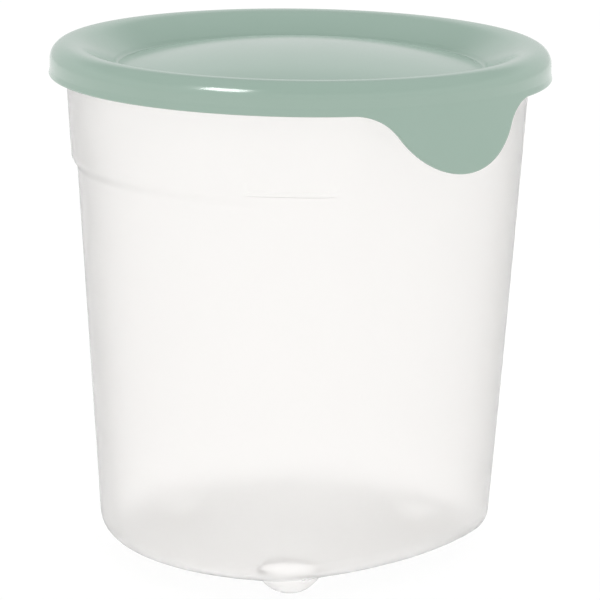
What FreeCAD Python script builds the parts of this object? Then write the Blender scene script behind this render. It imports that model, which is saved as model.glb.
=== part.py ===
import FreeCAD
import Part

import math
import os

# Round food keeper: a clear tapered tub and a press-on lid with a thumb tab.
# Millimetres, +Z up. The origin lies under the middle of the tub, on the plane that its feet stand on.
# The tub's flattened side, where fingers reach behind the thumb tab, faces -Y.

# Tub wall: a cone that opens upward, closed by a rounded floor
tub_height = 149.35
base_radius = 59.1
mouth_radius = 68.7
tub_wall = 1.3
base_round = 7.6

# Upper band of the tub: the wall steps out below the rim, and the band runs out beside the flattened side
band_step = 1.6
band_drop = 31.4
band_ramp = 4.4
band_gap_angle = 50.0
band_run_angle = 12.0

# Fill mark: a short raised line above the foot to the left of the flattened side
mark_angle = 23.0
mark_height = 0.9
mark_proud = 0.35

# Flattened side: a shallow crowned face that leans in more than the cone
side_depth_base = 9.1
side_depth_mouth = 4.6
side_crown = 111.0
side_corner_round = 20.0
ledge_room = 2.8

# Rim bead that the lid snaps over
rim_overhang = 1.9
rim_round = 3.1
rim_edge = 1.3
rim_undercut = 1.3

# Feet: hollow domes with a small flat pad, the first of them to the left of the flattened side
foot_count = 3
foot_turn = -45.0
foot_ring_radius = 43.5
foot_radius = 9.5
foot_height = 5.6
foot_pad_radius = 3.2

# Moulding gate under the floor: a shallow dish with a nub in it
gate_radius = 4.0
gate_nub_radius = 1.0
gate_depth = 0.4

# Lid: crest over the rim, slope down to a domed panel, skirt outside, plug ring inside
lid_wall = 1.5
crest_height = 9.55
crest_inner_round = 12.0
slope_width = 16.0
panel_recess = 5.75
panel_rise = 4.2
groove_width = 2.2
groove_depth = 0.5
groove_rise = 0.9
lip_flare = 0.45
lip_flare_height = 2.0
snap_bead = 0.6
snap_bead_height = 2.2
plug_depth = 5.8
plug_wall = 1.2
lip_round = 0.5

# Thumb tab: the flared lip drawn down over the flattened side
tab_drop = 17.6
tab_half_width = 32.0
tab_round = 24.0
tab_turn = -6.3

# Clearances between the lid and the tub
seat_gap = 0.3
plug_gap = 0.35
snap_gap = 0.3

# Most of the room on the slope that the crest's inner round may take
crest_room_share = 0.9

# One overrun for cuts that leave a solid, and one closeness for finding edges
overrun = 3.0
closeness = 0.001

# Heights and radii that follow from the sizes above
base_z = foot_height
rim_z = base_z + tub_height
ledge_drop = plug_depth + ledge_room
band_z = rim_z - band_drop
roof_z = rim_z + seat_gap
crest_z = roof_z + lid_wall
lip_z = crest_z - crest_height
panel_z = crest_z - panel_recess
wall_draft = (mouth_radius - base_radius) / tub_height
side_axis_y = side_crown - (base_radius - side_depth_base)
side_mouth_crown = side_axis_y + mouth_radius - side_depth_mouth
side_draft = (side_mouth_crown - side_crown) / tub_height
rim_radius = mouth_radius + band_step + rim_overhang
skirt_inner_radius = rim_radius + snap_gap + snap_bead
skirt_radius = skirt_inner_radius + lid_wall
crest_round = rim_round + seat_gap + lid_wall
crest_radius = skirt_radius - crest_round
panel_radius = crest_radius - slope_width
lip_slope = lip_flare / lip_flare_height
lip_radius = skirt_radius + lip_flare


def turned(start, *steps, axis_y=0.0):
    """Solid of revolution about a vertical axis; a step is an end point, or a middle and an end of an arc."""
    def place(point):
        return FreeCAD.Vector(0.0, axis_y + point[0], point[1])

    edges = []
    here = start
    for step in steps + (start,):
        if isinstance(step[0], tuple):
            middle, there = step
            edges.append(Part.Arc(place(here), place(middle), place(there)).toShape())
        else:
            there = step
            edges.append(Part.makeLine(place(here), place(there)))
        here = there
    face = Part.Face(Part.Wire(edges))
    return face.revolve(FreeCAD.Vector(0.0, axis_y, 0.0), FreeCAD.Vector(0.0, 0.0, 1.0), 360.0)


def on_circle(centre, radius, angle):
    """Point of a circle in the section plane, the angle in degrees from the outward direction."""
    turn = math.radians(angle)
    return (centre[0] + radius * math.cos(turn), centre[1] + radius * math.sin(turn))


def cone_radius(height):
    """Outer radius of the tub's wall cone at a height."""
    return base_radius + wall_draft * (height - base_z)


def side_radius(height):
    """Radius of the flattened side about its own axis at a height."""
    return side_crown + side_draft * (height - base_z)


def tub_core(inset, top_z):
    """Wall cone with its flattened side and rounded floor, drawn in by an inset on every side."""
    floor_z = base_z + inset
    across = inset * math.hypot(1.0, wall_draft)
    side_across = inset * math.hypot(1.0, side_draft)
    cone = turned(
        (0.0, floor_z),
        (cone_radius(floor_z) - across, floor_z),
        (cone_radius(top_z) - across, top_z),
        (0.0, top_z),
    )
    side = turned(
        (0.0, floor_z - overrun),
        (side_radius(floor_z - overrun) - side_across, floor_z - overrun),
        (side_radius(top_z + overrun) - side_across, top_z + overrun),
        (0.0, top_z + overrun),
        axis_y=side_axis_y,
    )
    core = cone.common(side).Solids[0]
    corners = [edge for edge in core.Edges if edge.BoundBox.ZLength > base_round and edge.CenterOfMass.y < 0.0]
    core = core.makeFillet(side_corner_round - inset, corners)
    floor_edges = [
        edge for edge in core.Edges
        if all(abs(vertex.Z - floor_z) < closeness for vertex in edge.Vertexes)
    ]
    return core.makeFillet(base_round - inset, floor_edges)


def around(radius, angle, height):
    """Point at a radius and a height, the angle in degrees from the middle of the flattened side."""
    turn = math.radians(angle)
    return FreeCAD.Vector(radius * math.sin(turn), -radius * math.cos(turn), height)


def prism(corners, height):
    """Upright solid on a polygon of corners at one level."""
    return Part.Face(Part.makePolygon(corners + corners[:1])).extrude(FreeCAD.Vector(0.0, 0.0, height))


def band_gap(inset, low_z):
    """Space in front where the band is left out, with slanted ends where the band runs out."""
    wall_radius = cone_radius(band_z) - inset
    high_z = rim_z - ledge_drop + inset
    corners = []
    for side in (-1, 1):
        start = around(wall_radius, side * band_gap_angle, low_z)
        end = around(wall_radius + band_step, side * (band_gap_angle + band_run_angle), low_z)
        far = start + (end - start) * 2
        front = FreeCAD.Vector(far.x, -2 * rim_radius, low_z)
        corners += [start, far, front][::side]
    return prism(corners, high_z - low_z)


def tub_band(inset, top_z, ring_steps):
    """Stepped-out upper band, drawn in by an inset, up to the given outline of its top."""
    across = inset * math.hypot(1.0, wall_draft)
    ramp_z = band_z - band_ramp
    run_in_z = ramp_z - band_ramp
    band = turned(
        (0.0, run_in_z),
        (cone_radius(ramp_z) - band_step - across, run_in_z),
        (cone_radius(band_z) + band_step - across, band_z),
        *ring_steps,
        (0.0, top_z),
    )
    return band.cut(band_gap(inset, run_in_z - overrun))


def fill_mark(top_z):
    """Short raised line that follows the wall at the height of the band's lower edge."""
    low_z = band_z - mark_height / 2
    corners = [FreeCAD.Vector(0.0, 0.0, low_z)]
    for share in (-1 / 2, 0, 1 / 2):
        corners.append(around(2 * rim_radius, foot_turn + share * mark_angle, low_z))
    return tub_core(-mark_proud, top_z).common(prism(corners, mark_height))


def rim_outline():
    """Rim bead from the band's wall up and over to the rim's top."""
    wall_radius = cone_radius(rim_z) + band_step
    round_centre = (crest_radius, rim_z - rim_round)
    edge_angle = math.degrees(math.acos((rim_radius - crest_radius) / rim_round))
    shoulder = on_circle(round_centre, rim_round, edge_angle)
    shoulder_middle = on_circle(round_centre, rim_round, (edge_angle + 90.0) / 2)
    edge_z = shoulder[1] - rim_edge
    return (
        (wall_radius, edge_z - rim_undercut),
        (rim_radius, edge_z),
        shoulder,
        (shoulder_middle, (crest_radius, rim_z)),
    )


def foot_places():
    """Middle of each foot, evenly spaced from the first one."""
    step = 360.0 / foot_count
    for number in range(foot_count):
        yield around(foot_ring_radius, foot_turn + step * number, 0.0)


def foot_dome(inset, top_z):
    """Dome of one foot about the Z axis, drawn in by an inset, from its pad up to a height."""
    centre_z = (foot_radius ** 2 - foot_pad_radius ** 2 + foot_height ** 2) / (2 * foot_height)
    ball_radius = math.hypot(foot_pad_radius, centre_z) - inset
    pad_radius = math.sqrt(ball_radius ** 2 - (centre_z - inset) ** 2)
    top_radius = math.sqrt(ball_radius ** 2 - (centre_z - top_z) ** 2)
    low_angle = -math.degrees(math.acos(pad_radius / ball_radius))
    high_angle = -math.degrees(math.acos(top_radius / ball_radius))
    return turned(
        (0.0, inset),
        (pad_radius, inset),
        (on_circle((0.0, centre_z), ball_radius, (low_angle + high_angle) / 2), (top_radius, top_z)),
        (0.0, top_z),
    )


def make_tub():
    """Clear tub: wall cone, band, flattened side, rim bead and hollow feet in one moulding."""
    core_z = rim_z - ledge_drop / 2
    inner_radius = cone_radius(rim_z + overrun) + band_step - tub_wall * math.hypot(1.0, wall_draft)
    outside = tub_core(0.0, core_z).fuse(tub_band(0.0, rim_z, rim_outline())).fuse(fill_mark(core_z))
    inside = tub_core(tub_wall, core_z).fuse(
        tub_band(tub_wall, rim_z + overrun, ((inner_radius, rim_z + overrun),)))
    foot = foot_dome(0.0, base_z + tub_wall / 2)
    hollow = foot_dome(tub_wall, base_z + tub_wall * 2)
    for place in foot_places():
        outside = outside.fuse(foot.translated(place))
        inside = inside.fuse(hollow.translated(place))
    middle = FreeCAD.Vector(0.0, 0.0, base_z)
    gate = Part.makeCylinder(gate_radius, gate_depth, middle).cut(
        Part.makeCylinder(gate_nub_radius, gate_depth, middle))
    return outside.cut(inside).cut(gate).removeSplitter()


def lid_section():
    """Revolved lid, with the flared lip drawn down all round as far as the tab will hang."""
    groove_end = (panel_radius + groove_width, panel_z + groove_rise)
    slope_run = crest_radius - groove_end[0]
    slope_rise = crest_z - groove_end[1]
    widest_round = (slope_run ** 2 + slope_rise ** 2) / (2 * slope_rise)
    inner_round = min(crest_inner_round, widest_round * crest_room_share)
    inner_centre = (crest_radius, crest_z - inner_round)
    reach = math.dist(inner_centre, groove_end)
    bearing = math.degrees(math.atan2(groove_end[1] - inner_centre[1], groove_end[0] - inner_centre[0]))
    slope_angle = bearing - math.degrees(math.acos(inner_round / reach))
    slope_top = on_circle(inner_centre, inner_round, slope_angle)
    crest_middle = on_circle(inner_centre, inner_round, (slope_angle + 90.0) / 2)
    groove_middle = (panel_radius + groove_width / 2, panel_z - groove_depth)
    outer_centre = (crest_radius, crest_z - crest_round)
    bottom_z = lip_z - tab_drop - overrun
    bottom_radius = lip_radius + lip_slope * (lip_z - bottom_z)
    flare_z = lip_z + lip_flare_height

    under_round = inner_round - lid_wall
    under_groove_end = on_circle(groove_end, -lid_wall, slope_angle)
    plug_z = rim_z - plug_depth
    tub_inside = cone_radius(plug_z) + band_step - tub_wall * math.hypot(1.0, wall_draft)
    plug_radius = tub_inside - plug_gap
    plug_top_radius = plug_radius + wall_draft * (roof_z - plug_z)
    plug_inner_radius = plug_radius - plug_wall
    plug_angle = math.degrees(math.acos((plug_inner_radius - crest_radius) / under_round))
    plug_inner_top = on_circle(inner_centre, under_round, plug_angle)
    roof_middle = on_circle(outer_centre, crest_round - lid_wall, 90.0 / 2)
    bead_top_z = rim_z - rim_round - rim_edge
    bead_z = bead_top_z - snap_bead_height / 2
    dome_radius = (panel_radius ** 2 + panel_rise ** 2) / (2 * panel_rise)
    dome_centre = (0.0, panel_z + panel_rise - dome_radius)
    dome_edge_angle = math.degrees(math.acos(panel_radius / dome_radius))
    under_dome_radius = dome_radius - lid_wall
    under_edge_angle = math.degrees(math.acos(panel_radius / under_dome_radius))
    return turned(
        (0.0, panel_z + panel_rise),
        (on_circle(dome_centre, dome_radius, (dome_edge_angle + 90.0) / 2), (panel_radius, panel_z)),
        (groove_middle, groove_end),
        slope_top,
        (crest_middle, (crest_radius, crest_z)),
        (on_circle(outer_centre, crest_round, 90.0 / 2), (skirt_radius, crest_z - crest_round)),
        (skirt_radius, flare_z),
        (bottom_radius, bottom_z),
        (bottom_radius - lid_wall, bottom_z),
        (skirt_inner_radius, flare_z),
        (skirt_inner_radius, bead_top_z - snap_bead_height),
        ((skirt_inner_radius - snap_bead, bead_z), (skirt_inner_radius, bead_top_z)),
        (skirt_inner_radius, crest_z - crest_round),
        (roof_middle, (crest_radius, roof_z)),
        (plug_top_radius, roof_z),
        (plug_radius, plug_z),
        (plug_inner_radius, plug_z),
        plug_inner_top,
        (on_circle(inner_centre, under_round, (plug_angle + slope_angle) / 2),
         on_circle(inner_centre, under_round, slope_angle)),
        under_groove_end,
        ((groove_middle[0], groove_middle[1] - lid_wall),
         on_circle(dome_centre, under_dome_radius, under_edge_angle)),
        (on_circle(dome_centre, under_dome_radius, (under_edge_angle + 90.0) / 2),
         (0.0, panel_z + panel_rise - lid_wall)),
    )


def tab_trim():
    """Space below the lip that is trimmed away, with the thumb tab's outline left out of it."""
    shoulder_round = (tab_half_width ** 2 - 2 * tab_round * tab_drop + tab_drop ** 2) / (2 * tab_drop)
    low_centre = (0.0, lip_z - tab_drop + tab_round)
    side_centre = (tab_half_width, lip_z - shoulder_round)
    bearing = math.degrees(math.atan2(side_centre[1] - low_centre[1], side_centre[0]))
    joint = on_circle(low_centre, tab_round, bearing)
    shoulder = on_circle(side_centre, shoulder_round, (90.0 + 180.0 + bearing) / 2)
    low_z = lip_z - tab_drop - 2 * overrun
    reach = 2 * lip_radius

    def place(point, side=1):
        return FreeCAD.Vector(side * point[0], 0.0, point[1])

    edges = [
        Part.makeLine(place((reach, low_z), -1), place((reach, lip_z), -1)),
        Part.makeLine(place((reach, lip_z), -1), place((tab_half_width, lip_z), -1)),
        Part.Arc(place((tab_half_width, lip_z), -1), place(shoulder, -1), place(joint, -1)).toShape(),
        Part.Arc(place(joint, -1), place((0.0, lip_z - tab_drop)), place(joint)).toShape(),
        Part.Arc(place(joint), place(shoulder), place((tab_half_width, lip_z))).toShape(),
        Part.makeLine(place((tab_half_width, lip_z)), place((reach, lip_z))),
        Part.makeLine(place((reach, lip_z)), place((reach, low_z))),
        Part.makeLine(place((reach, low_z)), place((reach, low_z), -1)),
    ]
    front = Part.Face(Part.Wire(edges)).extrude(FreeCAD.Vector(0.0, -reach, 0.0))
    back = Part.makeBox(2 * reach, reach, lip_z - low_z, FreeCAD.Vector(-reach, 0.0, low_z))
    return front, back


def make_lid():
    """Flexible lid in one moulding, turned a little so that its tab sits as the lid was pressed on."""
    lid = lid_section()
    for trim in tab_trim():
        lid = lid.cut(trim)
    lid = lid.removeSplitter()
    hem = [
        edge for face in lid.Faces if isinstance(face.Surface, Part.Cone) and face.BoundBox.ZMin < lip_z
        for edge in face.Edges if edge.BoundBox.ZMin < lip_z + lip_round
    ]
    lid = lid.makeFillet(min(lip_round, lid_wall / 3), hem)
    lid.rotate(FreeCAD.Vector(0.0, 0.0, 0.0), FreeCAD.Vector(0.0, 0.0, 1.0), tab_turn)
    return lid


def main():
    """Write each piece as its own STEP file."""
    os.makedirs("parts", exist_ok=True)
    for name, shape in (("tub", make_tub()), ("lid", make_lid())):
        shape.exportStep(f"parts/{name}.step")
        print(name, "valid", shape.isValid(), "solids", len(shape.Solids), "volume", round(shape.Volume))


main()
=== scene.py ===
"""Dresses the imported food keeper: a clear tub with one flattened side and a sage-green lid with a thumb tab.

Sizes are in millimetres until a mesh is made. Angles round the tub are counted from the middle of its
flattened side, which faces -Y, and grow towards +X.
"""

import logging
import math
from dataclasses import dataclass
from enum import Enum
from typing import Any

import bmesh
import bpy
import numpy as np
from mathutils import Matrix, Vector, geometry


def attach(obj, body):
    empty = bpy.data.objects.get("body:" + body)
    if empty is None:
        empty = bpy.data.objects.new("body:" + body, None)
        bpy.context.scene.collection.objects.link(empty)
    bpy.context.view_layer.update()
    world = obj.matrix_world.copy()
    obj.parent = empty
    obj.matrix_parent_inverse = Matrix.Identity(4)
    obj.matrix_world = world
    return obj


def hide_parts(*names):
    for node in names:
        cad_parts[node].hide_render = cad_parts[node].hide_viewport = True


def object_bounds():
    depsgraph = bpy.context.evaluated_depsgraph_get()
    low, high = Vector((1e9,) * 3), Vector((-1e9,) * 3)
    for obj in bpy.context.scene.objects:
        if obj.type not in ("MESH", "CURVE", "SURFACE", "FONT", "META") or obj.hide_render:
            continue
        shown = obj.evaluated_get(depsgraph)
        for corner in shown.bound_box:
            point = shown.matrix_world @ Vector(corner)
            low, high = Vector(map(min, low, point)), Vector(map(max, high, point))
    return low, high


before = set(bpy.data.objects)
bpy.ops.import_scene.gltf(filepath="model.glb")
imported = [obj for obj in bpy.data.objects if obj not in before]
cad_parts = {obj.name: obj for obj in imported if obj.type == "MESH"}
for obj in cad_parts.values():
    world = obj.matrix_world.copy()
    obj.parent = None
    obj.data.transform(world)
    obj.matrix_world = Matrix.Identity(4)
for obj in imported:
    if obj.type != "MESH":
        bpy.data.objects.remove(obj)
cad_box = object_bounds()

MILLIMETRE = 0.001
SHARP_ANGLE = math.radians(38.0)
# Points of a mesh that lie closer than this, in millimetres, are merged.
SEAM = 0.002
# Rounding allowed where a flat sheet is cut into triangles, in millimetres.
SHEET_ROUNDING = 1e-7
TAB_SIZES = ("Tab Drop", "Tab Half Width", "Tab Round", "Shoulder Round", "Joint Offset")
log = logging.getLogger("food_keeper")


class Face(Enum):
    """The two faces of the tub's wall."""

    OUTSIDE = "outside"
    INSIDE = "inside"


def linear(colour: str) -> tuple[float, float, float, float]:
    """Turn an sRGB hex colour into a linear one.

    Args:
        colour: Six hex digits after a hash sign.

    Returns:
        Linear red, green and blue, and an alpha of 1.
    """
    shares = [int(colour[place:place + 2], 16) / 255.0 for place in (1, 3, 5)]
    # The sRGB curve is straight near black and a power above that.
    red, green, blue = (
        share / 12.92 if share <= 0.04045 else ((share + 0.055) / 1.055) ** 2.4 for share in shares
    )
    return red, green, blue, 1.0


def add_node(
    tree: bpy.types.NodeTree, kind: str, inputs: dict[Any, Any] | None = None, **settings: Any
) -> Any:
    """Add a node to a tree with its settings, values and links.

    Args:
        tree: Shader or geometry tree that gets the node.
        kind: Blender's name for the node type.
        inputs: Input name or number to a value, or to an output socket that is linked to it.
        **settings: Properties of the node itself.

    Returns:
        The new node.
    """
    node = tree.nodes.new(kind)
    for name, value in settings.items():
        setattr(node, name, value)
    for key, value in (inputs or {}).items():
        if isinstance(value, bpy.types.NodeSocket):
            tree.links.new(value, node.inputs[key])
        else:
            node.inputs[key].default_value = value
    return node


def add_math(tree: bpy.types.NodeTree, operation: str, *terms: Any) -> bpy.types.NodeSocket:
    """Add a math node to a tree.

    Args:
        tree: Shader or geometry tree that gets the node.
        operation: Blender's name for the operation.
        *terms: Values, or output sockets that are linked, in the order of the node's inputs.

    Returns:
        The socket with the result.
    """
    return add_node(tree, "ShaderNodeMath", dict(enumerate(terms)), operation=operation).outputs[0]


def add_noise(tree: bpy.types.NodeTree, size: float, detail: float = 0.0) -> bpy.types.NodeSocket:
    """Add a soft random pattern that is fixed to the object.

    Args:
        tree: Shader tree that gets the pattern.
        size: Size of one feature of the pattern, in millimetres.
        detail: Number of finer layers in it.

    Returns:
        The socket with the pattern's value.
    """
    place = add_node(tree, "ShaderNodeTexCoord")
    noise = add_node(tree, "ShaderNodeTexNoise", {
        "Vector": place.outputs["Object"], "Scale": 1.0 / (size * MILLIMETRE), "Detail": detail})
    return noise.outputs["Fac"]


def bare_material(name: str) -> bpy.types.Material:
    """Make a material with an empty node tree.

    Args:
        name: What the material is.

    Returns:
        The material.
    """
    material = bpy.data.materials.new(name)
    material.use_nodes = True
    material.node_tree.nodes.clear()
    return material


def smooth_step(value: np.ndarray) -> np.ndarray:
    """Ease from 0 to 1 with level ends."""
    share = np.clip(value, 0.0, 1.0)
    return share * share * (3.0 - 2.0 * share)


def arc_points(
    centre: tuple[float, float], radius: float, start: float, end: float, steps: int
) -> np.ndarray:
    """Points of an arc in a section plane.

    Args:
        centre: Distance from the axis and height of the arc's centre.
        radius: Radius of the arc.
        start: First angle in degrees, from the outward direction.
        end: Last angle in degrees.
        steps: Number of equal steps between them.

    Returns:
        One row of distance and height for each point.
    """
    turns = np.radians(np.linspace(start, end, steps + 1))
    return np.column_stack((centre[0] + radius * np.cos(turns), centre[1] + radius * np.sin(turns)))


def line_points(start: tuple[float, float], end: tuple[float, float], steps: int) -> np.ndarray:
    """Evenly spaced points from one place in a section plane to another."""
    return np.linspace(start, end, steps + 1)


class Skin:
    """Collects the points and faces of one closed skin, in millimetres."""

    def __init__(self) -> None:
        """Start with nothing."""
        self.points: list[np.ndarray] = []
        self.faces: list[list[int]] = []
        self.count = 0

    def add_points(self, points: np.ndarray) -> np.ndarray:
        """Add points to the skin.

        Args:
            points: One row for each point.

        Returns:
            Their numbers in the skin.
        """
        numbers = np.arange(self.count, self.count + len(points))
        self.points.append(points)
        self.count += len(points)
        return numbers

    def add_rings(self, rings: list[np.ndarray]) -> None:
        """Join closed rings, each to the next.

        Args:
            rings: Rings with equal counts of points.
        """
        numbers = [self.add_points(ring) for ring in rings]
        for low, high in zip(numbers, numbers[1:]):
            quads = np.column_stack((low, np.roll(low, -1), np.roll(high, -1), high))
            self.faces.extend(quads.tolist())

    def add_sheet(self, outline: np.ndarray, holes: list[np.ndarray]) -> None:
        """Fill a flat outline, leaving its round holes open.

        Args:
            outline: Ring of points at one height.
            holes: Rings of points at the same height, each of them round.
        """
        loops = [outline, *holes]
        flat = [Vector(point[:2]) for loop in loops for point in loop]
        edges = []
        first = 0
        for loop in loops:
            last = first + len(loop)
            edges.extend(zip(range(first, last), [*range(first + 1, last), first]))
            first = last
        made, _, triangles, *_ = geometry.delaunay_2d_cdt(flat, edges, [], 1, SHEET_ROUNDING)
        centres = [hole[:, :2].mean(axis=0) for hole in holes]
        reaches = [np.linalg.norm(hole[0, :2] - centre) for hole, centre in zip(holes, centres)]
        corners = np.array([[*corner, outline[0, 2]] for corner in made])
        numbers = self.add_points(corners)
        for triangle in triangles:
            middle = corners[triangle, :2].mean(axis=0)
            if all(np.linalg.norm(middle - centre) > reach for centre, reach in zip(centres, reaches)):
                self.faces.append(numbers[triangle].tolist())

    def to_object(self, name: str) -> bpy.types.Object:
        """Make the skin an object with its seams closed and its faces outward.

        Args:
            name: Name of the object and its mesh.

        Returns:
            The object, at the origin.
        """
        mesh = bpy.data.meshes.new(name)
        mesh.from_pydata((np.concatenate(self.points) * MILLIMETRE).tolist(), [], self.faces)
        skin = bmesh.new()
        skin.from_mesh(mesh)
        bmesh.ops.remove_doubles(skin, verts=skin.verts, dist=SEAM * MILLIMETRE)
        bmesh.ops.recalc_face_normals(skin, faces=skin.faces)
        skin.to_mesh(mesh)
        skin.free()
        return place_mesh(name, mesh)


def place_mesh(name: str, mesh: bpy.types.Mesh) -> bpy.types.Object:
    """Shade a mesh smooth up to its sharp edges and put it in the scene.

    Args:
        name: Name of the object.
        mesh: Mesh in metres, in the frame's own axes.

    Returns:
        The object, at the origin.
    """
    mesh.polygons.foreach_set("use_smooth", [True] * len(mesh.polygons))
    mesh.set_sharp_from_angle(angle=SHARP_ANGLE)
    made = bpy.data.objects.new(name, mesh)
    bpy.context.scene.collection.objects.link(made)
    return made


@dataclass(frozen=True)
class ClearPolypropylene:
    """Clarified polypropylene, injection moulded: glassy and clear, with a faint milkiness and soft haze."""

    colour: str = "#fdfcfb"
    clearness: float = 0.96
    index: float = 1.18
    clear_roughness: float = 0.285
    haze_roughness: float = 0.345
    skin_gloss: float = 0.15
    skin_roughness: float = 0.03
    skin_index: float = 1.49
    haze_size: float = 34.0
    ripple_size: float = 22.0
    ripple_height: float = 0.02

    def material(self) -> bpy.types.Material:
        """Build the material.

        Returns:
            The material, with its nodes.
        """
        material = bare_material("clear moulded polypropylene")
        tree = material.node_tree
        # Clouds of haze, where the melt cooled more slowly, soften what shows through the wall.
        haze = add_noise(tree, self.haze_size)
        roughness = add_node(tree, "ShaderNodeMapRange", {
            "Value": haze, "To Min": self.clear_roughness, "To Max": self.haze_roughness})
        # Long shallow ripples, as a thin moulded wall has, bend the reflections a little.
        ripple = add_noise(tree, self.ripple_size)
        bump = add_node(tree, "ShaderNodeBump", {
            "Height": ripple, "Distance": self.ripple_height * MILLIMETRE, "Strength": 1.0})
        # The photo shows hardly a dark edge in the thin wall, so its index is set below the 1.49 of the
        # solid plastic, which the skin keeps.
        shader = add_node(tree, "ShaderNodeBsdfPrincipled", {
            "Base Color": linear(self.colour), "Transmission Weight": self.clearness, "IOR": self.index,
            "Roughness": roughness.outputs["Result"], "Normal": bump.outputs["Normal"],
            # The moulded skin is glossy although the wall behind it is hazy.
            "Coat Weight": self.skin_gloss, "Coat Roughness": self.skin_roughness,
            "Coat IOR": self.skin_index, "Coat Normal": bump.outputs["Normal"]})
        add_node(tree, "ShaderNodeOutputMaterial", {"Surface": shader.outputs["BSDF"]})
        return material


@dataclass(frozen=True)
class SagePolyethylene:
    """Flexible polyethylene, moulded and coloured in the mass: even sage green with a soft gloss."""

    light_colour: str = "#a2b9ad"
    deep_colour: str = "#9eb6a9"
    index: float = 1.51
    gloss_roughness: float = 0.15
    rubbed_roughness: float = 0.2
    mottle_size: float = 18.0
    rubbed_size: float = 9.0
    rubbed_start: float = 0.35
    rubbed_full: float = 0.75
    grain_size: float = 0.9
    grain_height: float = 0.004

    def material(self) -> bpy.types.Material:
        """Build the material.

        Returns:
            The material, with its nodes.
        """
        material = bare_material("sage moulded polyethylene")
        tree = material.node_tree
        # The pigment is spread a little unevenly, so the green drifts between two near shades.
        mottle = add_noise(tree, self.mottle_size, detail=3.0)
        green = add_node(tree, "ShaderNodeMix", {
            "Factor": mottle, 6: linear(self.deep_colour), 7: linear(self.light_colour)}, data_type="RGBA")
        # Handling dulls the gloss in soft patches.
        rubbed = add_noise(tree, self.rubbed_size, detail=4.0)
        roughness = add_node(tree, "ShaderNodeMapRange", {
            "Value": rubbed, "From Min": self.rubbed_start, "From Max": self.rubbed_full,
            "To Min": self.gloss_roughness, "To Max": self.rubbed_roughness})
        # Fine mould grain, drawn coarser than the real one so that it shows at this distance.
        grain = add_noise(tree, self.grain_size, detail=2.0)
        bump = add_node(tree, "ShaderNodeBump", {
            "Height": grain, "Distance": self.grain_height * MILLIMETRE, "Strength": 1.0})
        shader = add_node(tree, "ShaderNodeBsdfPrincipled", {
            "Base Color": green.outputs[2], "IOR": self.index,
            "Roughness": roughness.outputs["Result"], "Normal": bump.outputs["Normal"]})
        add_node(tree, "ShaderNodeOutputMaterial", {"Surface": shader.outputs["BSDF"]})
        return material


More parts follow.
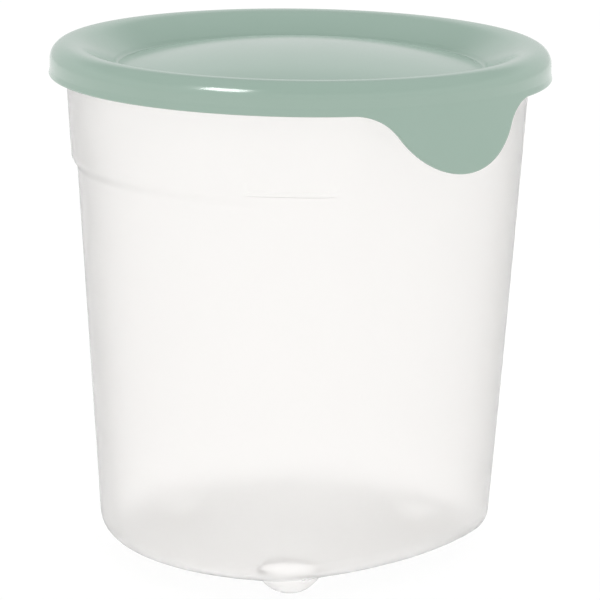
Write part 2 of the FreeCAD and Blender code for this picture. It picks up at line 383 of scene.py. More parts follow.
@dataclass
class Tub:
    """Clear tub: tapered round wall, one flattened side, band and bead under the rim, hollow dome feet."""

    height: float = 149.35
    base_radius: float = 59.1
    mouth_radius: float = 68.7
    wall: float = 1.3
    base_round: float = 7.6
    band_step: float = 1.6
    band_drop: float = 31.4
    band_ramp: float = 4.4
    band_gap_angle: float = 50.0
    band_run_angle: float = 12.0
    mark_angle: float = 23.0
    mark_height: float = 0.9
    mark_proud: float = 0.35
    mark_edge: float = 0.35
    mark_fade_angle: float = 1.5
    side_depth_base: float = 9.1
    side_depth_mouth: float = 4.6
    side_crown: float = 111.0
    side_corner_round: float = 20.0
    ledge_drop: float = 8.6
    rim_overhang: float = 1.9
    rim_round: float = 3.1
    rim_edge: float = 1.3
    rim_undercut: float = 1.3
    crest_radius: float = 69.7
    foot_count: int = 3
    foot_turn: float = -45.0
    foot_ring_radius: float = 43.5
    foot_radius: float = 9.5
    foot_height: float = 5.6
    foot_pad_radius: float = 3.2
    gate_radius: float = 4.0
    gate_nub_radius: float = 1.0
    gate_depth: float = 0.4
    columns: int = 480
    foot_columns: int = 64
    base_round_steps: int = 12
    lower_steps: int = 8
    ramp_steps: int = 10
    upper_steps: int = 6
    rim_steps: int = 8
    foot_steps: int = 10

    def __post_init__(self) -> None:
        """Work out the heights and slopes that follow from the sizes."""
        self.base_z = self.foot_height
        self.rim_z = self.base_z + self.height
        self.band_z = self.rim_z - self.band_drop
        self.ledge_z = self.rim_z - self.ledge_drop
        self.rim_radius = self.mouth_radius + self.band_step + self.rim_overhang
        self.draft = (self.mouth_radius - self.base_radius) / self.height
        self.side_axis_y = self.side_crown - (self.base_radius - self.side_depth_base)
        side_mouth = self.side_axis_y + self.mouth_radius - self.side_depth_mouth
        self.side_draft = (side_mouth - self.side_crown) / self.height
        self.wall_across = self.wall * math.hypot(1.0, self.draft)
        self.angles = np.radians(np.arange(self.columns) * 360.0 / self.columns)
        self.off_front = np.degrees(np.abs((self.angles + math.pi) % math.tau - math.pi))
        spin = np.radians(np.arange(self.foot_columns) * 360.0 / self.foot_columns)
        self.circle = np.column_stack((np.cos(spin), np.sin(spin)))
        self.outward = np.column_stack((
            np.sin(self.angles), -np.cos(self.angles), np.zeros(self.columns)))

    def cone_radius(self, z: float) -> float:
        """Outer radius of the round wall at a height."""
        return self.base_radius + self.draft * (z - self.base_z)

    def flattened(self, radius: np.ndarray, z: float, inset: float) -> np.ndarray:
        """Draw a round outline in where it meets the flattened side, with rounded corners.

        Args:
            radius: Radius of the round outline at each column.
            z: Height of the outline.
            inset: How far the outline lies inside the wall's outer face.

        Returns:
            The radius at each column.
        """
        crown = self.side_crown + self.side_draft * (z - self.base_z) - inset
        corner = self.side_corner_round - inset
        round_radius = self.cone_radius(z) - inset
        axis = self.side_axis_y
        corner_y = ((round_radius - corner) ** 2 - (crown - corner) ** 2 + axis ** 2) / (2.0 * axis)
        corner_x = math.sqrt((round_radius - corner) ** 2 - corner_y ** 2)
        round_end = math.degrees(math.atan2(corner_x, -corner_y))
        share = crown / (crown - corner)
        side_end = math.degrees(math.atan2(corner_x * share, -(axis + (corner_y - axis) * share)))
        turn = np.radians(self.off_front)
        side = np.sqrt(crown ** 2 - (axis * np.sin(turn)) ** 2) - axis * np.cos(turn)
        along = corner_x * np.sin(turn) - corner_y * np.cos(turn)
        room = corner ** 2 - corner_x ** 2 - corner_y ** 2 + along ** 2
        rounded = along + np.sqrt(np.maximum(room, 0.0))
        beside = np.where(self.off_front < round_end, rounded, radius)
        return np.where(self.off_front < side_end, side, beside)

    def ring(self, radius: np.ndarray, z: float) -> np.ndarray:
        """Closed ring of points at one height."""
        return self.outward * radius[:, None] + np.array((0.0, 0.0, z))

    def round_ring(self, radius: float, z: float) -> np.ndarray:
        """Ring at the same radius all round."""
        return self.ring(np.full(self.columns, radius), z)

    def small_ring(self, middle: tuple[float, float], radius: float, z: float) -> np.ndarray:
        """Closed ring of points about a place in the floor."""
        return np.column_stack((middle + radius * self.circle, np.full(self.foot_columns, z)))

    def wall_ring(self, z: float, inset: float) -> np.ndarray:
        """Ring on the wall below the rim's ledge, with the band where the wall has it.

        Args:
            z: Height of the ring.
            inset: How far it lies inside the wall's outer face.

        Returns:
            The ring's points.
        """
        up_ramp = smooth_step(np.array((z - self.band_z + self.band_ramp) / self.band_ramp))
        run_out = smooth_step((self.off_front - self.band_gap_angle) / self.band_run_angle)
        radius = self.cone_radius(z) - inset + self.band_step * up_ramp * run_out
        return self.ring(self.flattened(radius, z, inset), z)

    def marked_ring(self, z: float) -> np.ndarray:
        """Ring on the outer wall that stands proud along the fill mark.

        Args:
            z: Height of the ring.

        Returns:
            The ring's points.
        """
        off_mark = np.abs((np.degrees(self.angles) - self.foot_turn + 180.0) % 360.0 - 180.0)
        inside = (self.mark_angle / 2.0 - off_mark) / self.mark_fade_angle
        proud = self.mark_proud * smooth_step(inside + 0.5)
        return self.wall_ring(z, 0.0) + self.outward * proud[:, None]

    def floor_rings(self, face: Face) -> list[np.ndarray]:
        """Rings of the rounding between the floor and the wall, from the floor up.

        Args:
            face: Which face of the wall the rings are on.

        Returns:
            The rings, in order.
        """
        inset = self.wall if face is Face.INSIDE else 0.0
        centre_z = self.base_z + self.base_round
        centre_radius = self.cone_radius(centre_z) - self.base_round * math.hypot(1.0, self.draft)
        top_angle = -math.degrees(math.atan(self.draft))
        arc_radius = self.base_round - inset
        arc = arc_points((centre_radius, centre_z), arc_radius, -90.0, top_angle, self.base_round_steps)
        return [self.wall_ring(z, self.cone_radius(z) - radius) for radius, z in arc]

    def wall_heights(self, first: float) -> list[float]:
        """Heights of the rings from the rounding up to the ledge.

        Args:
            first: Height at which the rounding ends.

        Returns:
            The heights between the two.
        """
        ramp = np.linspace(self.band_z - self.band_ramp, self.band_z, self.ramp_steps + 1)
        below = np.linspace(first, ramp[0], self.lower_steps + 1)[1:-1]
        above = np.linspace(ramp[-1], self.ledge_z, self.upper_steps + 1)[1:-1]
        return [*below, *ramp, *above]

    def outer_rings(self) -> list[np.ndarray]:
        """Rings of the outside, from the floor's edge up to the rim bead.

        Returns:
            The rings, in order.
        """
        rings = self.floor_rings(Face.OUTSIDE)
        half = self.mark_height / 2.0
        marks = (self.band_z - half, self.band_z + half)
        plain = [z for z in self.wall_heights(self.base_z + self.base_round)
                 if abs(z - self.band_z) > half + 2.0 * self.mark_edge]
        plain += [marks[0] - self.mark_edge, marks[1] + self.mark_edge]
        for z in sorted([*plain, *marks]):
            rings.append(self.marked_ring(z) if z in marks else self.wall_ring(z, 0.0))
        rings.append(self.wall_ring(self.ledge_z, 0.0))
        return rings

    def rim_rings(self) -> list[np.ndarray]:
        """Round rings of the rim, from the ledge over the bead and down to the ledge inside.

        Returns:
            The rings, in order.
        """
        centre = (self.crest_radius, self.rim_z - self.rim_round)
        edge_angle = math.degrees(math.acos((self.rim_radius - self.crest_radius) / self.rim_round))
        bead = arc_points(centre, self.rim_round, edge_angle, 90.0, self.rim_steps)
        edge_z = bead[0, 1] - self.rim_edge
        inside_z = self.ledge_z + self.wall
        top_radius = self.cone_radius(self.rim_z) + self.band_step
        section = [
            (self.cone_radius(self.ledge_z) + self.band_step, self.ledge_z),
            (top_radius, edge_z - self.rim_undercut),
            (self.rim_radius, edge_z),
            *bead,
            (top_radius - self.wall_across, self.rim_z),
            (self.cone_radius(inside_z) + self.band_step - self.wall_across, inside_z),
        ]
        return [self.round_ring(radius, z) for radius, z in section]

    def inner_rings(self) -> list[np.ndarray]:
        """Rings of the inside, from the ledge down to the floor's edge.

        Returns:
            The rings, in order.
        """
        heights = self.wall_heights(self.base_z + self.base_round)
        rings = [self.wall_ring(z, self.wall_across) for z in [*heights, self.ledge_z + self.wall]]
        return [*reversed(rings), *reversed(self.floor_rings(Face.INSIDE))]

    def foot_rings(self, turn: float, face: Face) -> list[np.ndarray]:
        """Rings of one foot's dome, from the floor down to its pad.

        Args:
            turn: Place of the foot, in degrees from the middle of the flattened side.
            face: Which face of the wall the dome is on.

        Returns:
            The rings, the first of them in the floor.
        """
        inset = self.wall if face is Face.INSIDE else 0.0
        squares = self.foot_radius ** 2 - self.foot_pad_radius ** 2 + self.foot_height ** 2
        centre_z = squares / (2.0 * self.foot_height)
        ball = math.hypot(self.foot_pad_radius, centre_z) - inset
        floor_angle = math.degrees(math.asin((self.base_z + inset - centre_z) / ball))
        pad_angle = math.degrees(math.asin((inset - centre_z) / ball))
        side = math.radians(turn)
        middle = (self.foot_ring_radius * math.sin(side), -self.foot_ring_radius * math.cos(side))
        arc = arc_points((0.0, centre_z), ball, floor_angle, pad_angle, self.foot_steps)
        return [self.small_ring(middle, radius, z) for radius, z in arc]

    def gate_rings(self) -> list[np.ndarray]:
        """Rings of the moulding gate under the floor, a shallow dish with a nub in its middle.

        Returns:
            The rings, in order.
        """
        dish_z = self.base_z + self.gate_depth
        section = [
            (self.gate_radius, self.base_z),
            (self.gate_radius, dish_z),
            (self.gate_nub_radius, dish_z),
            (self.gate_nub_radius, self.base_z),
        ]
        return [self.small_ring((0.0, 0.0), radius, z) for radius, z in section]

    def build(self) -> bpy.types.Object:
        """Make the whole tub as one closed skin.

        Returns:
            The tub's object.
        """
        skin = Skin()
        outer, inner = self.outer_rings(), self.inner_rings()
        skin.add_rings([*outer, *self.rim_rings(), *inner])
        turns = [self.foot_turn + 360.0 * number / self.foot_count for number in range(self.foot_count)]
        for face, edge in ((Face.OUTSIDE, outer[0]), (Face.INSIDE, inner[-1])):
            domes = [self.foot_rings(turn, face) for turn in turns]
            holes = [dome[0] for dome in domes]
            for dome in domes:
                skin.add_rings(dome)
                skin.add_sheet(dome[-1], [])
            if face is Face.OUTSIDE:
                gate = self.gate_rings()
                skin.add_rings(gate)
                skin.add_sheet(gate[-1], [])
                holes.append(gate[0])
            skin.add_sheet(edge, holes)
        return skin.to_object("tub_shell")

    def dress(self, shell: bpy.types.Object, finish: ClearPolypropylene) -> None:
        """Give the tub its finish and set it on its body.

        Args:
            shell: The tub's object.
            finish: What the tub is made of.
        """
        shell.data.materials.append(finish.material())
        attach(shell, "tub")
        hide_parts("tub")


@dataclass
class Lid:
    """Flexible lid: domed panel, slope, crest, flared skirt, thumb tab, snap bead and plug ring."""

    wall: float = 1.5
    crest_z: float = 156.75
    crest_height: float = 9.55
    crest_radius: float = 69.7
    crest_round: float = 4.9
    crest_inner_round: float = 12.0
    slope_width: float = 16.0
    panel_recess: float = 6.65
    panel_rise: float = 6.0
    groove_width: float = 2.2
    groove_depth: float = 0.5
    groove_rise: float = 0.9
    lip_flare: float = 0.45
    lip_flare_height: float = 2.0
    lip_round: float = 0.5
    hem_inset: float = 0.03
    snap_bead: float = 0.6
    snap_bead_height: float = 2.2
    snap_bead_top_z: float = 150.55
    plug_z: float = 149.15
    plug_radius: float = 68.26
    plug_lean: float = 0.39
    plug_wall: float = 1.2
    tab_drop: float = 17.6
    tab_half_width: float = 32.0
    tab_round: float = 24.0
    tab_turn: float = -6.3
    columns: int = 480
    dome_steps: int = 16
    groove_steps: int = 8
    crest_steps: int = 14
    skirt_steps: int = 3
    lip_steps: int = 14
    hem_steps: int = 5
    bead_steps: int = 8
    under_steps: int = 10
    shortest_step: float = 1e-4

    def __post_init__(self) -> None:
        """Work out the places that follow from the sizes."""
        self.skirt_radius = self.crest_radius + self.crest_round
        self.lip_radius = self.skirt_radius + self.lip_flare
        self.lip_z = self.crest_z - self.crest_height
        self.lip_slope = self.lip_flare / self.lip_flare_height
        self.panel_z = self.crest_z - self.panel_recess
        self.panel_radius = self.crest_radius - self.slope_width
        self.shoulder_round = (
            self.tab_half_width ** 2 - 2.0 * self.tab_round * self.tab_drop + self.tab_drop ** 2
        ) / (2.0 * self.tab_drop)
        self.joint_offset = self.tab_half_width * self.tab_round / (self.tab_round + self.shoulder_round)

    def dome(self, drop: float) -> np.ndarray:
        """Section of the domed panel from the axis outwards.

        Args:
            drop: How far it lies under the panel's upper face.

        Returns:
            Distance from the axis and height of each point.
        """
        ball = (self.panel_radius ** 2 + self.panel_rise ** 2) / (2.0 * self.panel_rise)
        centre = (0.0, self.panel_z + self.panel_rise - ball)
        edge = math.degrees(math.acos(self.panel_radius / (ball - drop)))
        return arc_points(centre, ball - drop, 90.0, edge, self.dome_steps)

    def groove(self, drop: float) -> np.ndarray:
        """Section of the groove round the panel, from the panel to the slope.

        Args:
            drop: How far it lies under the lid's upper face.

        Returns:
            Distance from the axis and height of each point.
        """
        share = np.linspace(0.0, 1.0, self.groove_steps + 1)
        sunk = self.groove_depth * np.sin(share * math.pi) + drop
        heights = self.panel_z + self.groove_rise * share ** 2 - sunk
        return np.column_stack((self.panel_radius + self.groove_width * share, heights))

    def slope(self) -> tuple[tuple[float, float], float]:
        """Work out the slope, a line that leaves the crest's inner round smoothly.

        Returns:
            Centre of the crest's inner round, and the angle in degrees at which the slope leaves it.
        """
        centre = (self.crest_radius, self.crest_z - self.crest_inner_round)
        end = (self.panel_radius + self.groove_width, self.panel_z + self.groove_rise)
        bearing = math.degrees(math.atan2(end[1] - centre[1], end[0] - centre[0]))
        return centre, bearing - math.degrees(math.acos(self.crest_inner_round / math.dist(centre, end)))

    def hem(self) -> np.ndarray:
        """Rounded lower edge of the lip, drawn in a hair so that the lid stays inside the solid's box.

        Returns:
            Its points, from the outer face to the inner face.
        """
        low = self.lip_z + self.lip_round
        outer = (self.lip_radius - self.lip_slope * self.lip_round - self.lip_round - self.hem_inset, low)
        inner = (outer[0] - self.wall + 2.0 * self.lip_round, low)
        outer_arc = arc_points(outer, self.lip_round, 0.0, -90.0, self.hem_steps)
        inner_arc = arc_points(inner, self.lip_round, -90.0, -180.0, self.hem_steps)
        return np.vstack((outer_arc, inner_arc))

    def section(self) -> tuple[np.ndarray, np.ndarray]:
        """Outline of the lid from the axis on top to the axis underneath.

        Returns:
            Distance from the axis and height of each point, and how far it hangs with the tab, from 0 to 1.
        """
        centre, slope_angle = self.slope()
        outer_centre = (self.crest_radius, self.crest_z - self.crest_round)
        roof_z = self.crest_z - self.wall
        flare_z = self.lip_z + self.lip_flare_height
        inner_skirt = self.skirt_radius - self.wall
        hem = self.hem()
        bead_z = self.snap_bead_top_z - self.snap_bead_height
        bead_turn = np.linspace(0.0, math.pi, self.bead_steps + 1)
        bead = np.column_stack((
            inner_skirt - self.snap_bead * np.sin(bead_turn),
            np.linspace(bead_z, self.snap_bead_top_z, len(bead_turn))))
        under_round = self.crest_inner_round - self.wall
        plug_inner = self.plug_radius - self.plug_wall
        plug_angle = math.degrees(math.acos((plug_inner - self.crest_radius) / under_round))
        above = [
            self.dome(0.0), self.groove(0.0),
            arc_points(centre, self.crest_inner_round, slope_angle, 90.0, self.crest_steps),
            arc_points(outer_centre, self.crest_round, 90.0, 0.0, self.crest_steps),
            line_points(
                (self.skirt_radius, outer_centre[1]), (self.skirt_radius, flare_z), self.skirt_steps),
        ]
        hanging = [
            line_points((self.skirt_radius, flare_z), tuple(hem[0]), self.lip_steps), hem,
            line_points(tuple(hem[-1]), (inner_skirt, flare_z), self.lip_steps),
        ]
        below = [
            bead, arc_points(outer_centre, self.crest_round - self.wall, 0.0, 90.0, self.under_steps),
            np.array([(self.plug_radius + self.plug_lean, roof_z), (self.plug_radius, self.plug_z),
                      (plug_inner, self.plug_z)]),
            arc_points(centre, under_round, plug_angle, slope_angle, self.under_steps),
            self.groove(self.wall)[::-1], self.dome(self.wall)[::-1],
        ]
        points = np.vstack([*above, *hanging, *below])
        first = sum(len(stretch) for stretch in above)
        last = first + sum(len(stretch) for stretch in hanging)
        hang = np.zeros(len(points))
        span = flare_z - hem[0][1]
        hang[first:last] = np.clip((flare_z - points[first:last, 1]) / span, 0.0, 1.0)
        # Where two stretches meet, their shared point is kept once.
        apart = np.linalg.norm(np.diff(points, axis=0), axis=1) > self.shortest_step
        keep = np.concatenate(([True], apart))
        return points[keep], hang[keep]

    def outline_group(self) -> bpy.types.NodeTree:
        """Node group that gives how far the lip hangs at an angle from the tab's middle.

        Returns:
            The group, with inputs for the tab's sizes.
        """
        tree = bpy.data.node_groups.new("Tab Outline", "GeometryNodeTree")
        for name in ("Angle", "Edge Radius", *TAB_SIZES):
            tree.interface.new_socket(name, in_out="INPUT", socket_type="NodeSocketFloat")
        tree.interface.new_socket("Drop", in_out="OUTPUT", socket_type="NodeSocketFloat")
        sizes = add_node(tree, "NodeGroupInput").outputs
        found = {name: sizes[name] for name in ("Angle", "Edge Radius", *TAB_SIZES)}
        # Each row names a value, the operation that gives it, and the terms of that operation.
        rows = (
            # Distance across from the tab's middle, never past its half width and never on the lid's back.
            ("sine", "SINE", "Angle"),
            ("cosine", "COSINE", "Angle"),
            ("across", "MULTIPLY", "sine", "Edge Radius"),
            ("apart", "ABSOLUTE", "across"),
            ("near", "MINIMUM", "apart", "Tab Half Width"),
            ("front", "GREATER_THAN", "cosine", 0.0),
            ("offset", "MIX", "front", "Tab Half Width", "near"),
            # The tab's rounded end, an arc about its middle.
            ("end square", "POWER", "Tab Round", 2.0),
            ("offset square", "POWER", "offset", 2.0),
            ("end room", "SUBTRACT", "end square", "offset square"),
            ("end safe", "MAXIMUM", "end room", 0.0),
            ("end root", "SQRT", "end safe"),
            ("end base", "SUBTRACT", "Tab Drop", "Tab Round"),
            ("end drop", "ADD", "end base", "end root"),
            # The shoulder, an arc that flows from the level lip into the end.
            ("inside", "SUBTRACT", "Tab Half Width", "offset"),
            ("inside square", "POWER", "inside", 2.0),
            ("shoulder square", "POWER", "Shoulder Round", 2.0),
            ("shoulder room", "SUBTRACT", "shoulder square", "inside square"),
            ("shoulder safe", "MAXIMUM", "shoulder room", 0.0),
            ("shoulder root", "SQRT", "shoulder safe"),
            ("shoulder drop", "SUBTRACT", "Shoulder Round", "shoulder root"),
            ("on end", "LESS_THAN", "offset", "Joint Offset"),
            ("drop", "MIX", "on end", "shoulder drop", "end drop"),
        )
        for name, operation, *terms in rows:
            values = [found.get(term, term) for term in terms]
            if operation == "MIX":
                # A mix has its factor first and its two values in the third and fourth places.
                found[name] = add_node(tree, "ShaderNodeMix", dict(zip((0, 2, 3), values))).outputs[0]
            else:
                found[name] = add_math(tree, operation, *values)
        add_node(tree, "NodeGroupOutput", {"Drop": found["drop"]})
        return tree

    def turning_tree(self) -> bpy.types.NodeTree:
        """Node tree that turns the section about the axis and lets the lip hang down as the tab.

        Returns:
            The tree, with inputs for its sizes and material.
        """
        tree = bpy.data.node_groups.new("Lid From Section", "GeometryNodeTree")
        tree.interface.new_socket("Section", in_out="INPUT", socket_type="NodeSocketGeometry")
        tree.interface.new_socket("Columns", in_out="INPUT", socket_type="NodeSocketInt")
        for name in ("Lip Radius", "Lip Slope", "Tab Turn", *TAB_SIZES):
            tree.interface.new_socket(name, in_out="INPUT", socket_type="NodeSocketFloat")
        tree.interface.new_socket("Material", in_out="INPUT", socket_type="NodeSocketMaterial")
        tree.interface.new_socket("Lid", in_out="OUTPUT", socket_type="NodeSocketGeometry")
        size = add_node(tree, "NodeGroupInput").outputs
        # One row of the grid for each point of the section, and one column more than there are steps round.
        rows = add_node(tree, "GeometryNodeAttributeDomainSize", {
            "Geometry": size["Section"]}, component="MESH")
        seam = add_math(tree, "ADD", size["Columns"], 1.0)
        grid = add_node(tree, "GeometryNodeMeshGrid", {
            "Vertices X": rows.outputs["Point Count"], "Vertices Y": seam})
        number = add_node(tree, "GeometryNodeInputIndex").outputs[0]
        row = add_math(tree, "FLOOR", add_math(tree, "DIVIDE", number, seam))
        column = add_math(tree, "MODULO", number, seam)
        position = add_node(tree, "GeometryNodeInputPosition").outputs[0]
        place = add_node(tree, "GeometryNodeSampleIndex", {
            "Geometry": size["Section"], "Value": position, "Index": row}, data_type="FLOAT_VECTOR")
        hang_name = add_node(tree, "GeometryNodeInputNamedAttribute", {"Name": "hang"}, data_type="FLOAT")
        hang = add_node(tree, "GeometryNodeSampleIndex", {
            "Geometry": size["Section"], "Value": hang_name.outputs[0], "Index": row}, data_type="FLOAT")
        split = add_node(tree, "ShaderNodeSeparateXYZ", {0: place.outputs[0]}).outputs
        turn = add_math(tree, "MULTIPLY", add_math(tree, "DIVIDE", column, size["Columns"]), math.tau)
        from_tab = add_math(tree, "SUBTRACT", turn, size["Tab Turn"])
        # The lip widens as it hangs, so the outline is read twice: at the lip's own radius, and then at
        # the radius that it has reached.
        group = self.outline_group()
        tab = {"Angle": from_tab, **{name: size[name] for name in TAB_SIZES}}
        lip = size["Lip Radius"]
        first = add_node(tree, "GeometryNodeGroup", {"Edge Radius": lip, **tab}, node_tree=group)
        widened = add_math(tree, "MULTIPLY_ADD", first.outputs["Drop"], size["Lip Slope"], lip)
        second = add_node(tree, "GeometryNodeGroup", {"Edge Radius": widened, **tab}, node_tree=group)
        drop = add_math(tree, "MULTIPLY", second.outputs["Drop"], hang.outputs[0])
        radius = add_math(tree, "MULTIPLY_ADD", drop, size["Lip Slope"], split["X"])
        x = add_math(tree, "MULTIPLY", radius, add_math(tree, "SINE", turn))
        back = add_math(tree, "MULTIPLY", radius, -1.0)
        y = add_math(tree, "MULTIPLY", back, add_math(tree, "COSINE", turn))
        z = add_math(tree, "SUBTRACT", split["Z"], drop)
        point = add_node(tree, "ShaderNodeCombineXYZ", {0: x, 1: y, 2: z})
        placed = add_node(tree, "GeometryNodeSetPosition", {
            "Geometry": grid.outputs["Mesh"], "Position": point.outputs[0]})
        closed = add_node(tree, "GeometryNodeMergeByDistance", {
            "Geometry": placed.outputs[0], "Distance": SEAM * MILLIMETRE})
        real = add_node(tree, "GeometryNodeRealizeInstances", {"Geometry": closed.outputs[0]})
        dressed = add_node(tree, "GeometryNodeSetMaterial", {
            "Geometry": real.outputs[0], "Material": size["Material"]})
        add_node(tree, "NodeGroupOutput", {"Lid": dressed.outputs[0]})
        return tree

    def build(self, finish: SagePolyethylene) -> bpy.types.Object:
        """Turn the section into the lid with the node tree, and keep the result as a plain mesh.

        Args:
            finish: What the lid is made of.

        Returns:
            The lid's object.
        """
        points, hang = self.section()
        section = bpy.data.meshes.new("lid_section")
        places = np.column_stack((points[:, 0], np.zeros(len(points)), points[:, 1])) * MILLIMETRE
        section.from_pydata(places.tolist(), [(number, number + 1) for number in range(len(points) - 1)], [])
        section.attributes.new("hang", "FLOAT", "POINT").data.foreach_set("value", hang)
        former = bpy.data.objects.new("lid_section", section)
        bpy.context.scene.collection.objects.link(former)
        modifier = former.modifiers.new("Lid From Section", "NODES")
        tree = self.turning_tree()
        modifier.node_group = tree
        values = {
            "Columns": self.columns,
            "Lip Radius": self.lip_radius * MILLIMETRE,
            "Lip Slope": self.lip_slope,
            "Tab Turn": math.radians(self.tab_turn),
            "Tab Drop": self.tab_drop * MILLIMETRE,
            "Tab Half Width": self.tab_half_width * MILLIMETRE,
            "Tab Round": self.tab_round * MILLIMETRE,
            "Shoulder Round": self.shoulder_round * MILLIMETRE,
            "Joint Offset": self.joint_offset * MILLIMETRE,
            "Material": finish.material(),
        }
        for socket in tree.interface.items_tree:
            if socket.in_out == "INPUT" and socket.name in values:
                modifier[socket.identifier] = values[socket.name]
        graph = bpy.context.evaluated_depsgraph_get()
        mesh = bpy.data.meshes.new_from_object(former.evaluated_get(graph))
        former.modifiers.remove(modifier)
        bpy.data.objects.remove(former)
        mesh.name = "lid_shell"
        return place_mesh("lid_shell", mesh)

    def dress(self, shell: bpy.types.Object) -> None:
        """Set the lid on its body.

        Args:
            shell: The lid's object.
        """
        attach(shell, "lid")
        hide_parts("lid")


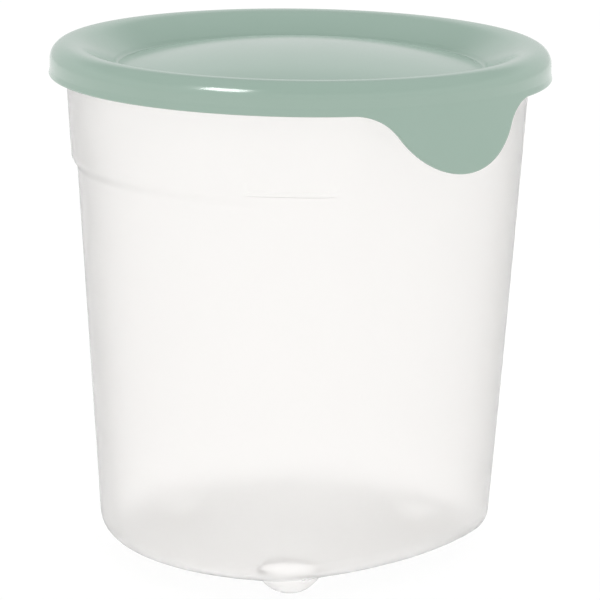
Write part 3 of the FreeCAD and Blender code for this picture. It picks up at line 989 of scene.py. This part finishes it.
@dataclass
class Studio:
    """Pale floor, one soft lamp, white surroundings and the camera of the photograph."""

    camera_turn: float = -43.2
    camera_away: float = 972.9
    camera_z: float = 306.1
    camera_yaw: float = 0.0008
    camera_pitch: float = 0.2304
    camera_roll: float = 0.0134
    focal_pixels: float = 3297.4
    image_pixels: float = 600.0
    sensor: float = 36.0
    floor_radius: float = 3000.0
    floor_sides: int = 96
    floor_colour: str = "#f7f6f4"
    floor_glow: float = 1.04
    through_glow: float = 1.06
    under_glow: float = 1.15
    under_radius: float = 150.0
    shadow_share: float = 0.1
    through_shadow: float = 0.02
    matt_glow: float = 1.24
    wall_glow: float = 1.0
    ceiling_glow: float = 0.35
    wall_top: float = 0.4
    ceiling_edge: float = 0.6
    lamp_turn: float = -38.0
    lamp_rise: float = 41.0
    lamp_away: float = 1200.0
    lamp_width: float = 330.0
    lamp_watts: float = 7.0

    def floor_material(self) -> bpy.types.Material:
        """White paper: shows white to the camera, and keeps the object's soft shadow.

        Returns:
            The material, with its nodes.
        """
        material = bare_material("white paper sweep")
        tree = material.node_tree
        path = add_node(tree, "ShaderNodeLightPath").outputs
        paper = add_node(tree, "ShaderNodeBsdfDiffuse", {"Color": linear(self.floor_colour)})
        passed = add_math(tree, "MINIMUM", path["Transmission Depth"], 1.0)
        # Painted light: paper that is seen through the tub glows brighter under the tub's floor than further
        # off, and keeps less of its shadow there.
        place = add_node(tree, "ShaderNodeNewGeometry")
        reach = add_node(tree, "ShaderNodeVectorMath", {0: place.outputs["Position"]}, operation="LENGTH")
        near = add_node(tree, "ShaderNodeMapRange", {
            "Value": reach.outputs["Value"], "From Max": self.under_radius * MILLIMETRE,
            "To Min": self.under_glow, "To Max": self.through_glow})
        strength = add_node(tree, "ShaderNodeMapRange", {
            "Value": passed, "To Min": self.floor_glow, "To Max": near.outputs["Result"]})
        glow = add_node(tree, "ShaderNodeEmission", {"Strength": strength.outputs["Result"]})
        shade = add_node(tree, "ShaderNodeMapRange", {
            "Value": passed, "To Min": self.shadow_share, "To Max": self.through_shadow})
        lit = add_node(tree, "ShaderNodeMixShader", {
            0: shade.outputs["Result"], 1: glow.outputs[0], 2: paper.outputs[0]})
        seen = add_math(tree, "MAXIMUM", path["Is Camera Ray"], path["Is Glossy Ray"])
        through = add_math(tree, "MAXIMUM", seen, path["Is Transmission Ray"])
        mixed = add_node(tree, "ShaderNodeMixShader", {0: through, 1: paper.outputs[0], 2: lit.outputs[0]})
        add_node(tree, "ShaderNodeOutputMaterial", {"Surface": mixed.outputs[0]})
        return material

    def lay_floor(self) -> None:
        """Lay a round floor under the feet."""
        mesh = bpy.data.meshes.new("floor")
        sheet = bmesh.new()
        bmesh.ops.create_circle(sheet, cap_ends=True, segments=self.floor_sides,
                                radius=self.floor_radius * MILLIMETRE)
        sheet.to_mesh(mesh)
        sheet.free()
        mesh.materials.append(self.floor_material())
        floor = bpy.data.objects.new("floor", mesh)
        bpy.context.scene.collection.objects.link(floor)

    def light_world(self) -> None:
        """White all round, but reflections see a dim ceiling above the white walls."""
        world = bpy.data.worlds.new("studio")
        bpy.context.scene.world = world
        world.use_nodes = True
        tree = world.node_tree
        tree.nodes.clear()
        path = add_node(tree, "ShaderNodeLightPath").outputs
        way = add_node(tree, "ShaderNodeTexCoord")
        rise = add_node(tree, "ShaderNodeSeparateXYZ", {0: way.outputs["Generated"]})
        walls = add_node(tree, "ShaderNodeMapRange", {
            "Value": rise.outputs["Z"], "From Min": self.wall_top, "From Max": self.ceiling_edge,
            "To Min": self.wall_glow, "To Max": self.ceiling_glow})
        passed = add_math(tree, "MINIMUM", path["Transmission Depth"], 1.0)
        mirrored = add_math(tree, "MULTIPLY", path["Is Glossy Ray"], add_math(tree, "SUBTRACT", 1.0, passed))
        plain = add_node(tree, "ShaderNodeMapRange", {
            "Value": passed, "To Min": self.matt_glow, "To Max": self.through_glow})
        glow = add_node(tree, "ShaderNodeMix", {
            "Factor": mirrored, 2: plain.outputs["Result"], 3: walls.outputs["Result"]})
        background = add_node(tree, "ShaderNodeBackground", {"Strength": glow.outputs[0]})
        add_node(tree, "ShaderNodeOutputWorld", {"Surface": background.outputs[0]})

    def hang_lamp(self) -> None:
        """Hang a soft square lamp left of the camera, which faces the keeper and only makes highlights."""
        middle = (cad_box[0] + cad_box[1]) / 2.0
        side = math.radians(self.camera_turn + self.lamp_turn)
        up = math.radians(self.lamp_rise)
        back = Vector((math.sin(side) * math.cos(up), -math.cos(side) * math.cos(up), math.sin(up)))
        light = bpy.data.lights.new("left lamp", "AREA")
        light.size = self.lamp_width * MILLIMETRE
        light.energy = self.lamp_watts
        lamp = bpy.data.objects.new("left lamp", light)
        lamp.location = middle + back * (self.lamp_away * MILLIMETRE)
        lamp.rotation_euler = back.to_track_quat("Z", "Y").to_euler()
        lamp.visible_diffuse = False
        lamp.visible_transmission = False
        bpy.context.scene.collection.objects.link(lamp)

    def set_camera(self) -> None:
        """Stand the camera where the photograph was taken."""
        turn = math.radians(self.camera_turn)
        ahead_turn = turn - self.camera_yaw
        ahead = Vector((-math.sin(ahead_turn), math.cos(ahead_turn), 0.0))
        right = Vector((math.cos(ahead_turn), math.sin(ahead_turn), 0.0))
        look = ahead * math.cos(self.camera_pitch) - Vector((0.0, 0.0, math.sin(self.camera_pitch)))
        up = right.cross(look)
        across = right * math.cos(self.camera_roll) + up * math.sin(self.camera_roll)
        upward = up * math.cos(self.camera_roll) - right * math.sin(self.camera_roll)
        axes = Matrix((across, upward, -look)).transposed().to_4x4()
        stand = Vector((math.sin(turn) * self.camera_away, -math.cos(turn) * self.camera_away, self.camera_z))
        data = bpy.data.cameras.new("camera")
        data.sensor_width = self.sensor
        data.lens = self.focal_pixels / self.image_pixels * self.sensor
        camera = bpy.data.objects.new("camera", data)
        camera.matrix_world = Matrix.Translation(stand * MILLIMETRE) @ axes
        bpy.context.scene.collection.objects.link(camera)
        bpy.context.scene.camera = camera

    def build(self) -> None:
        """Set up the whole studio."""
        bpy.context.scene.view_settings.view_transform = "Standard"
        self.lay_floor()
        self.light_world()
        self.hang_lamp()
        self.set_camera()


def main() -> None:
    """Build the pieces in order and report each of them."""
    logging.basicConfig(level=logging.INFO, format="%(name)s: %(message)s")
    tub = Tub()
    tub_shell = tub.build()
    tub.dress(tub_shell, ClearPolypropylene())
    lid = Lid()
    lid_shell = lid.build(SagePolyethylene())
    lid.dress(lid_shell)
    for shell in (tub_shell, lid_shell):
        log.info("%s has %d faces", shell.name, len(shell.data.polygons))
    Studio().build()
    log.info("studio is set")


if __name__ == "__main__":
    main()
